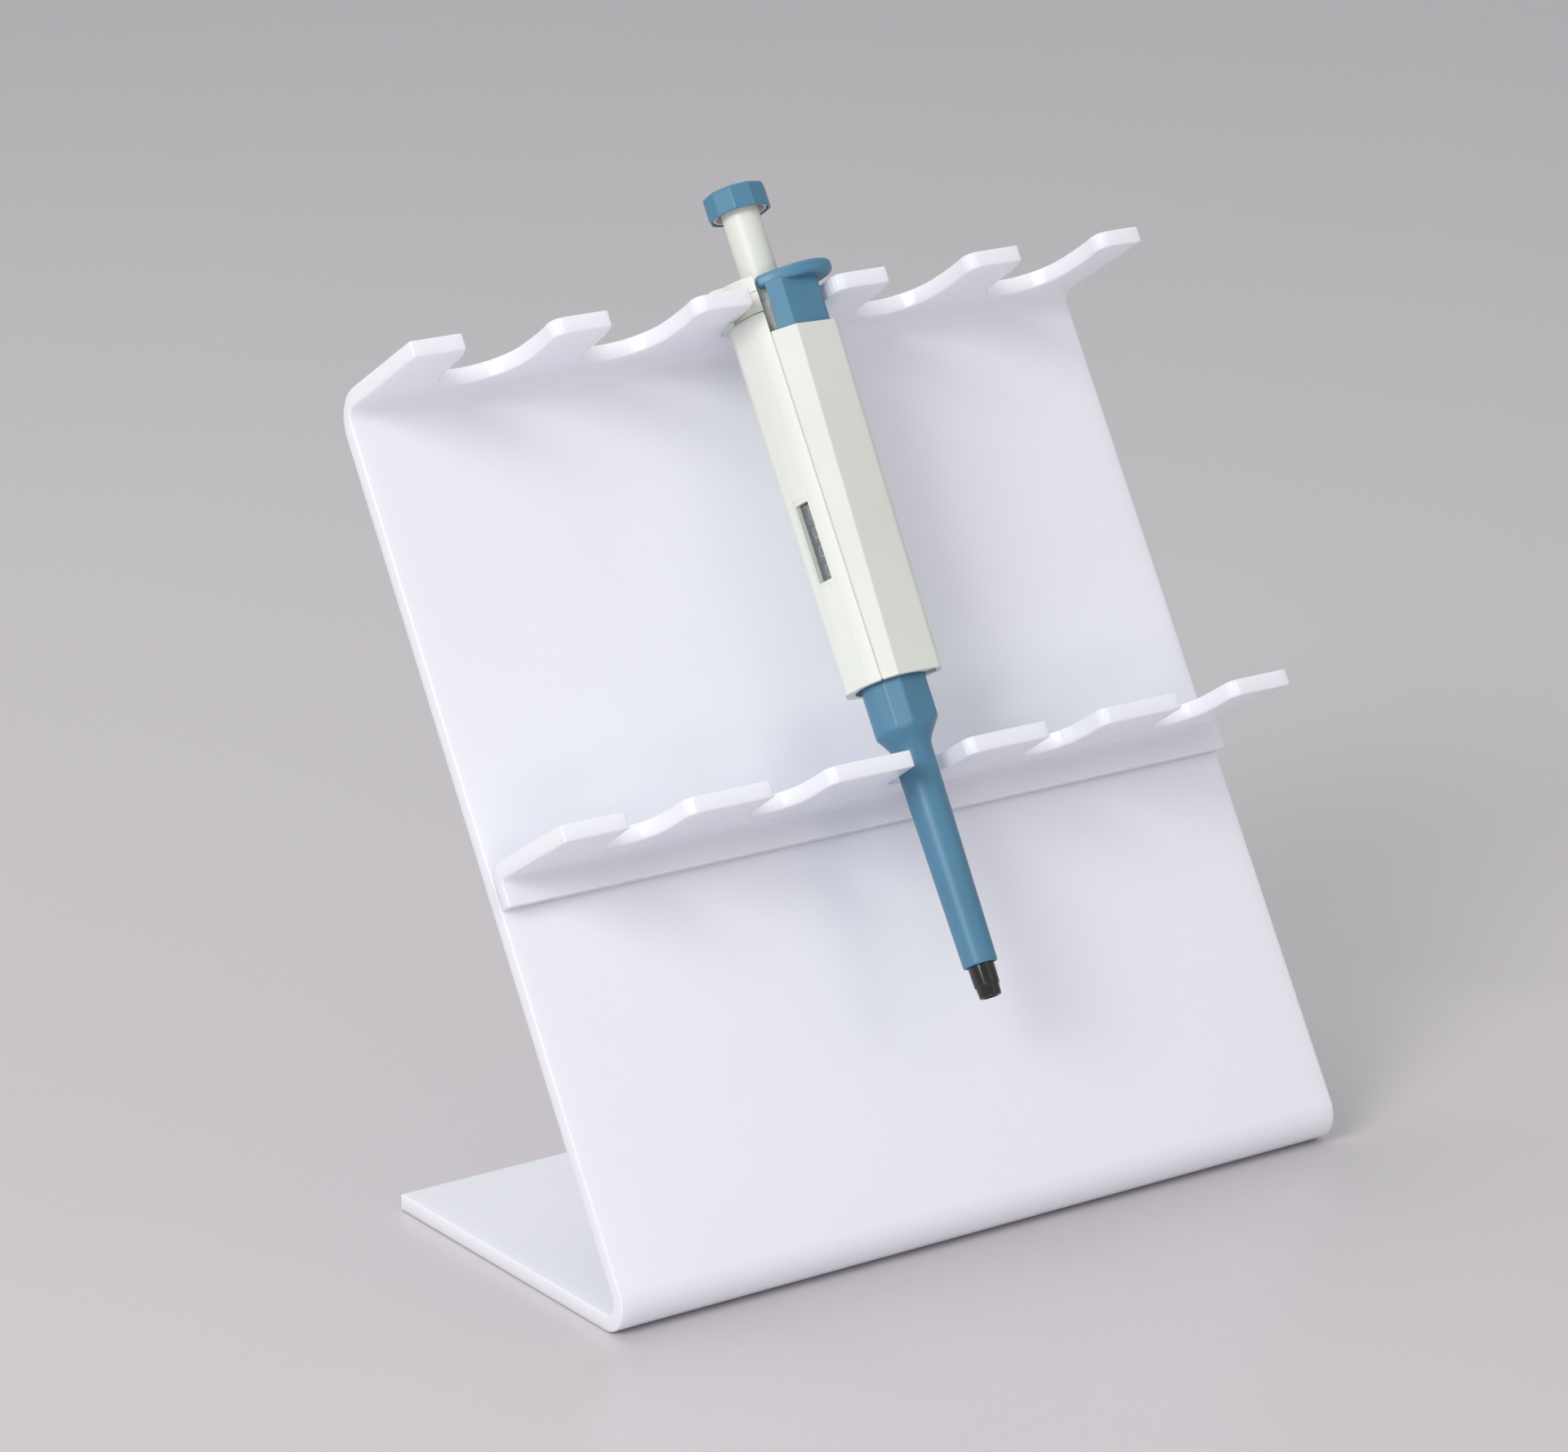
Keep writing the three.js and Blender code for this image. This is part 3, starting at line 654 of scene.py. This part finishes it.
bm = carve(
    shell_slab(),
    [
        cyl(BORE_R, 80, 185.9), slab(collar_cav, [(80, 0), (92.5, 0)]), cyl(6.9, 176.9, 199.1), cyl(5.65, 190, 212),
        window_box(11.6, 16, 3.0, 118.2, 143.2, 0.5), window_box(7, 16, 2.4, 119.5, 141.7, 0.35),
    ],
    join=[hook_solid()],
)  # prettier-ignore
to_object("handle_hook_side", bm, WHITE, "handle", PIP, sharp=32, replaces=["handle_shell"])

# ejector side of the handle, up to the notch
half_r = [(SEAM_X + 0.3, -11.3), (5.6, -11.5), (16.3, -3)]
poly_r = ccw(mirror_y(half_r))
poly_r = fillet(poly_r, [0.1 if p[0] < 0 else (0.55 if p[0] < 10 else 2.6) for p in poly_r], steps=7)
bm = slab(poly_r, rim(H_BODY0, H_NOTCH, 0.3, 3), centre=(5.0, 0.0))
for i in range(1, 12):
    z = H_BODY0 + (H_NOTCH - H_BODY0) * i / 12
    bmesh.ops.bisect_plane(bm, geom=bm.verts[:] + bm.edges[:] + bm.faces[:], plane_co=(0, 0, z), plane_no=(0, 0, 1))
for v in bm.verts:
    v.co.x = taper(v.co.x, v.co.z)
stem_cav = fillet(ccw(mirror_y([(15.05, -2.75), (5.5, -10.3), (-3, -10.3)])), 0.5, steps=3)
bm = carve(
    bm,
    [
        cyl(BORE_R, 80, 185.9), boxed(6, 12.8, -2.9, 2.9, 80, 190), slab(stem_cav, [(149.5, 0), (192, 0)]),
        slab(collar_cav, [(80, 0), (92.5, 0)]), cyl(7.1, 176.9, 192),
    ],
)  # prettier-ignore
to_object("handle_ejector_side", bm, WHITE, "handle", PIP, sharp=32, replaces=["handle_cover"])

# moulded tongue that closes the seam a little below the surface
for side_, y0, y1 in (("front", -11.32, -10.3), ("back", 10.3, 11.32)):
    bm = slab([(SEAM_X + 0.02, y0), (SEAM_X + 0.28, y0), (SEAM_X + 0.28, y1), (SEAM_X + 0.02, y1)],
              [(H_BODY0 + 0.35, 0), (H_NOTCH - 0.3, 0)])  # prettier-ignore
    to_object("seam_tongue_" + side_, bm, SEAM, "handle", PIP, sharp=30)

# ---- ejector pad: a rounded, dished thumb rest
pad_half = [(-1.55, -8.7), (3, -9.5), (8.3, -9.5), (12.2, -8.7), (15.6, -6.9), (18.2, -4.1), (19.3, -1.4)]
ctrl = [Vector((-1.55, -8.55))] + [Vector(p) for p in pad_half[1:]]
full = ctrl + [Vector((x, -y)) for x, y in reversed(ctrl)]


def catmull(points, k=6):
    out = []
    n = len(points)
    for i in range(n - 1):
        p0 = points[max(0, i - 1)]
        p1, p2 = points[i], points[i + 1]
        p3 = points[min(n - 1, i + 2)]
        for j in range(k):
            t = j / k
            q = 0.5 * ((2 * p1) + (p2 - p0) * t + (2 * p0 - 5 * p1 + 4 * p2 - p3) * t * t + (3 * p1 - p0 - 3 * p2 + p3) * t ** 3)
            out.append((q.x, q.y))
    out.append(tuple(points[-1]))
    return out


pad_poly = ccw(catmull(full, 7))
R_PAD = 1.4


def pad_mesh():
    b = bmesh.new()
    mid = (PAD_H0 + PAD_H1) / 2
    levels_p = []
    n_r = 6
    for i in range(n_r + 1):
        q = math.pi / 2 * i / n_r
        levels_p.append((0.0 + R_PAD * (1 - math.cos(q)), R_PAD * (1 - math.sin(q)), 0))
    for i in range(n_r + 1):
        q = math.pi / 2 * i / n_r
        levels_p.append((PAD_H1 - PAD_H0 - R_PAD * (1 - math.sin(q)), R_PAD * (1 - math.cos(q)), 1))
    levels_p.reverse()
    levels_p = sorted(set((round(h, 5), round(d, 5), t) for h, d, t in levels_p), key=lambda e: (e[2], e[0]))
    tan = math.tan(math.radians(PAD_TILT))
    rings = []

    def bottom(x):
        # the underside rises towards the outer end
        z = PAD_H0 + (x - 8) * tan
        return max(z, 198.554 + 0.14 * x) + 0.3

    def place(x, y, h, t):
        top = PAD_H1 + (x - 8) * tan
        low = bottom(x)
        thick = PAD_H1 - PAD_H0
        real = top - low
        z = low + h * real / thick
        return z

    for h, d, t in levels_p:
        pts = inset_radial(pad_poly, d, (9.0, 0.0))
        rings.append([b.verts.new((x, y, place(x, y, h, t))) for x, y in pts])
    n = len(pad_poly)
    for p, q in zip(rings, rings[1:]):
        for i in range(n):
            j = (i + 1) % n
            b.faces.new((p[i], p[j], q[j], q[i]))
    b.faces.new(list(reversed(rings[0])))
    # dished top in rings towards its middle
    last = rings[-1]
    cx, cy = 10.0, 0.0
    base = [Vector(v.co) for v in last]
    prev = last
    for k in (0.93, 0.84, 0.72, 0.58, 0.42, 0.25, 0.1):
        ring = []
        for v0 in base:
            x, y = cx + (v0.x - cx) * k, cy + (v0.y - cy) * k
            zt = PAD_H1 + (x - 8) * tan
            dish = max(0.0, 1.0 - ((x - 10.5) ** 2 + y * y) / 116.0)
            ring.append(b.verts.new((x, y, zt - 0.95 * dish * min(1, (1 - k) * 6))))
        for i in range(n):
            j = (i + 1) % n
            b.faces.new((prev[i], prev[j], ring[j], ring[i]))
        prev = ring
    b.faces.new(prev)
    return b


bm = carve(pad_mesh(), [cyl(7.0, 190, 215), boxed(-9, 0, -6.98, 6.98, 190, 215)])
to_object("ejector_pad", bm, BLUE, "ejector", PIP, sharp=38, replaces=["ejector_button"])

# stem: a three-sided wall round the shaft, rounded on its outer edge
inner_arc = arc(0, 0, 8.7, 85, 16.1, 18)
stem_half = [(0.6, 9.95), (5.3, 9.95), (14.7, 2.0)]
outer_pts = [(0.6, -9.95), (5.3, -9.95), (14.7, -2.0), (14.7, 2.0), (5.3, 9.95), (0.6, 9.95)]
outer_r = fillet(outer_pts, [0.15, 0.5, 2.6, 2.6, 0.5, 0.15], steps=6)
inner_pts = [(0.76, 8.667)] + inner_arc[1:] + [(12.6, 2.41), (12.6, -2.41)] + [(x, -y) for x, y in reversed(inner_arc[1:])] + [(0.76, -8.667)]
stem_poly = ccw(outer_r + inner_pts)
bm = slab(stem_poly, [(176, 0.1), (176.1, 0), (PAD_H0 - 0.1, 0), (PAD_H0 + 1.0, 0)])
for v in bm.verts:
    if v.co.z > PAD_H0 - 0.2:
        v.co.z += max(0.0, 198.554 + 0.14 * v.co.x - PAD_H0)
to_object("ejector_stem", bm, BLUE, "ejector", PIP, sharp=30, replaces=["ejector_button"])

# ---- ejector sleeve: faceted collar, funnel and tube in one loft
collar = fillet(ccw(mirror_y([(9.6, -2.4), (2.95, -8.6), (-1.8, -8.5), (-5.4, -7.1), (-7.6, -3.9), (-8.3, -1.6)])), 0.35, steps=3)


def ray_radius(poly, ang):
    d = Vector((math.cos(ang), math.sin(ang)))
    best = None
    for i in range(len(poly)):
        a, b2 = Vector(poly[i - 1]), Vector(poly[i])
        e = b2 - a
        den = d.x * e.y - d.y * e.x
        if abs(den) < 1e-12:
            continue
        t = (a.x * e.y - a.y * e.x) / den
        u = (a.x * d.y - a.y * d.x) / den
        if t > 0 and -1e-6 <= u <= 1 + 1e-6:
            best = t if best is None else max(best, t)
    return best or 8.0


NA = 180
collar_r = [ray_radius(collar, 2 * math.pi * i / NA) for i in range(NA)]


def smin(a, b_, k=0.3):
    h = max(0.0, k - abs(a - b_)) / k
    return min(a, b_) - h * h * k * 0.25


def cone_radius(z):
    pts = [(9.0, 4.62), (9.3, 4.78), (70.5, 5.65), (72.0, 6.25), (78.3, 10.6), (91.0, 10.9)]
    for (za, ra), (zb, rb) in zip(pts, pts[1:]):
        if za <= z <= zb:
            return ra + (rb - ra) * (z - za) / (zb - za)
    return 10.9


prof_z = [9.0, 9.06, 9.2, 9.5] + [10 + 58.5 * i / 12 for i in range(13)] + [69.5, 70.2, 70.6, 71.0, 71.5, 72.0]
prof_z += [72.0 + 8.0 * i / 22 for i in range(1, 23)] + [82, 86, 89, 90.2, 90.42, 90.5]
bm = bmesh.new()
rings = []
for z in prof_z:
    ring = []
    for i in range(NA):
        q = 2 * math.pi * i / NA
        rc = cone_radius(z)
        if 69.5 < z < 74:
            rc = (cone_radius(max(9.1, z - 0.9)) + cone_radius(z) + cone_radius(z + 0.9)) / 3
        r = smin(collar_r[i], rc)
        if z > 90.4:
            r -= 0.18 if z > 90.45 else 0.06
        if z < 9.1:
            r -= 0.12 * (9.1 - z) / 0.1
        ring.append(bm.verts.new((r * math.cos(q), r * math.sin(q), z)))
    rings.append(ring)
for z, r in [(90.5, 7.2), (76.2, 7.2), (70.5, 4.9), (68.5, 4.5), (9.0, 4.1)]:
    rings.append([bm.verts.new((r * math.cos(2 * math.pi * i / NA), r * math.sin(2 * math.pi * i / NA), z)) for i in range(NA)])
rings.append(rings[0])
for p, q in zip(rings, rings[1:]):
    for i in range(NA):
        j = (i + 1) % NA
        bm.faces.new((p[i], p[j], q[j], q[i]))
to_object("ejector_sleeve_body", bm, BLUE, "ejector", PIP, sharp=40, replaces=["ejector_sleeve"])
bm = slab(fillet([(7.3, -2.2), (12.4, -2.2), (12.4, 2.2), (7.3, 2.2)], 0.3, steps=3), rim(89.2, 90.5, 0.15, 2))
to_object("sleeve_tab", bm, BLUE, "ejector", PIP, sharp=30)

# ---- tip cone
bm = lathe(
    [(2.2, 0.25), (2.3, 0.06), (2.5, 0.0), (2.78, 0.02), (2.95, 0.15), (3.05, 0.4), (3.2, 2.9), (3.28, 3.05),
     (3.46, 3.2), (3.52, 3.4), (3.66, 9), (3.75, 69.7), (1.5, 69.7), (1.5, 9), (2.2, 8.6)],
    96, closed=True,
)  # prettier-ignore
to_object("cone_body", bm, DARK, "handle", PIP, sharp=60, replaces=["tip_cone"])

# ---- plunger shaft, push-button and liner
bm = lathe(
    [(3.2, 160), (5.2, 160), (SHAFT_R, 160.1), (SHAFT_R, 177.3), (6.2, 177.3), (6.3, 177.4), (6.3, 180.5), (6.2, 180.6),
     (SHAFT_R, 180.6), (SHAFT_R, 200), (SHAFT_R, 215), (SHAFT_R, 227.5), (3.2, 227.5)],
    96, closed=True,
)  # prettier-ignore
to_object("shaft_body", bm, WHITE, "plunger", PIP, sharp=40, replaces=["plunger_shaft"])

n10 = 10
corners = []
for i in range(n10):
    a = ((i + 0.5) / n10) * 2 * math.pi + math.radians(-75.5)
    corners.append((KNOB_R * math.cos(a), KNOB_R * math.sin(a)))
knob_poly = ccw(fillet(corners, 0.8, steps=4))
lv = [
    (KNOB_H0, 0.42), (KNOB_H0 + 0.06, 0.2), (KNOB_H0 + 0.22, 0.06), (KNOB_H0 + 0.5, 0.0), (KNOB_H1 - 1.1, 0.0),
    (KNOB_H1 - 0.72, 0.05), (KNOB_H1 - 0.42, 0.17), (KNOB_H1 - 0.2, 0.36), (KNOB_H1 - 0.06, 0.62),
    (KNOB_H1 - 0.01, 0.9), (KNOB_H1, 1.3),
]  # prettier-ignore
bm = carve(slab(knob_poly, lv, centre=(0.0, 0.0)), [cyl(7.9, KNOB_H0 - 2, KNOB_H1 - 4.1)])
to_object("knob_body", bm, BLUE, "plunger", PIP, sharp=33, replaces=["push_button"])
bm = lathe(
    [(7.0, 225.5), (7.08, 225.42), (7.5, 225.42), (7.6, 225.5), (7.6, 227.7), (7.0, 227.7)], 96, closed=True,
)  # prettier-ignore
to_object("liner_body", bm, LINER, "plunger", PIP, sharp=50, replaces=["button_liner"])

# ---- number wheels' figures: plain digits, upright when the plunger is up
WHEEL_BODY = {1: "dial", 2: "dial", 3: "hundreds_wheel", 4: "thousands_wheel"}
READING = {4: 1, 3: 0, 2: 0, 1: 0}
WINDOW = math.radians(-135)
for w in range(1, 5):
    bm = bmesh.new()
    zc = 119.7 + 5.4 * (w - 1) + 2.55
    for d in range(10):
        cu = bpy.data.curves.new("digit", "FONT")
        cu.body = str(d)
        cu.size = 4.9
        cu.align_x, cu.align_y = "CENTER", "CENTER"
        cu.extrude = 0.03
        cu.resolution_u = 3
        to = bpy.data.objects.new("digit", cu)
        scene.collection.objects.link(to)
        bpy.context.view_layer.update()
        me = bpy.data.meshes.new_from_object(to.evaluated_get(bpy.context.evaluated_depsgraph_get()))
        a0 = WINDOW + (d - READING[w]) * 2 * math.pi / 10
        for v in me.vertices:
            x, y, z = v.co
            a = a0 + x / 9.36
            r = 9.335 + z
            v.co = (r * math.cos(a), r * math.sin(a), zc + y)
        bm.from_mesh(me)
        bpy.data.objects.remove(to)
        bpy.data.curves.remove(cu)
        bpy.data.meshes.remove(me)
    ob = to_object("wheel_figures_%d" % w, bm, FIGURE, WHEEL_BODY[w], PIP, sharp=40, weighted=False)

# ------------------------------------------------------------------ floor, light
def stage_material(name, col, rough):
    m = material(name, col, rough, var=0.012, var_scale=1.5, grain=40, bump=0.0, bump_mm=0.01, rough_var=0.03)
    return m


bm = bmesh.new()
bmesh.ops.create_grid(bm, x_segments=8, y_segments=8, size=8.0)
me = bpy.data.meshes.new("floor")
bm.to_mesh(me)
bm.free()
floor = bpy.data.objects.new("floor", me)
floor.location = (0, 2.0, -0.0002)
scene.collection.objects.link(floor)
me.materials.append(stage_material("floor_pale", srgb(205, 200, 202), 0.28))

world = bpy.data.worlds.new("world")
scene.world = world
world.use_nodes = True
bg = world.node_tree.nodes["Background"]
bg.inputs["Color"].default_value = (0.93, 0.94, 0.97, 1)
bg.inputs["Strength"].default_value = 0.55


def area(name, loc, target, size, energy, color=(1, 1, 1), size_y=None):
    ld = bpy.data.lights.new(name, "AREA")
    ld.shape = "RECTANGLE"
    ld.size = size
    ld.size_y = size_y or size
    ld.energy = energy
    ld.color = color
    o = bpy.data.objects.new(name, ld)
    o.location = loc
    o.rotation_mode = "QUATERNION"
    o.rotation_quaternion = (Vector(target) - Vector(loc)).to_track_quat("-Z", "Y")
    scene.collection.objects.link(o)
    return o


area("key", (-1.75, -0.75, 1.35), (0, 0, 0.12), 0.9, 26)
area("low", (-0.9, -1.7, 0.14), (0, 0, 0.15), 1.3, 4.5, size_y=0.3)
area("fill", (1.0, -2.0, 1.2), (0, 0, 0.12), 1.4, 2.5)
area("top", (-0.2, 0.9, 1.9), (0, 0, 0.15), 1.0, 9)
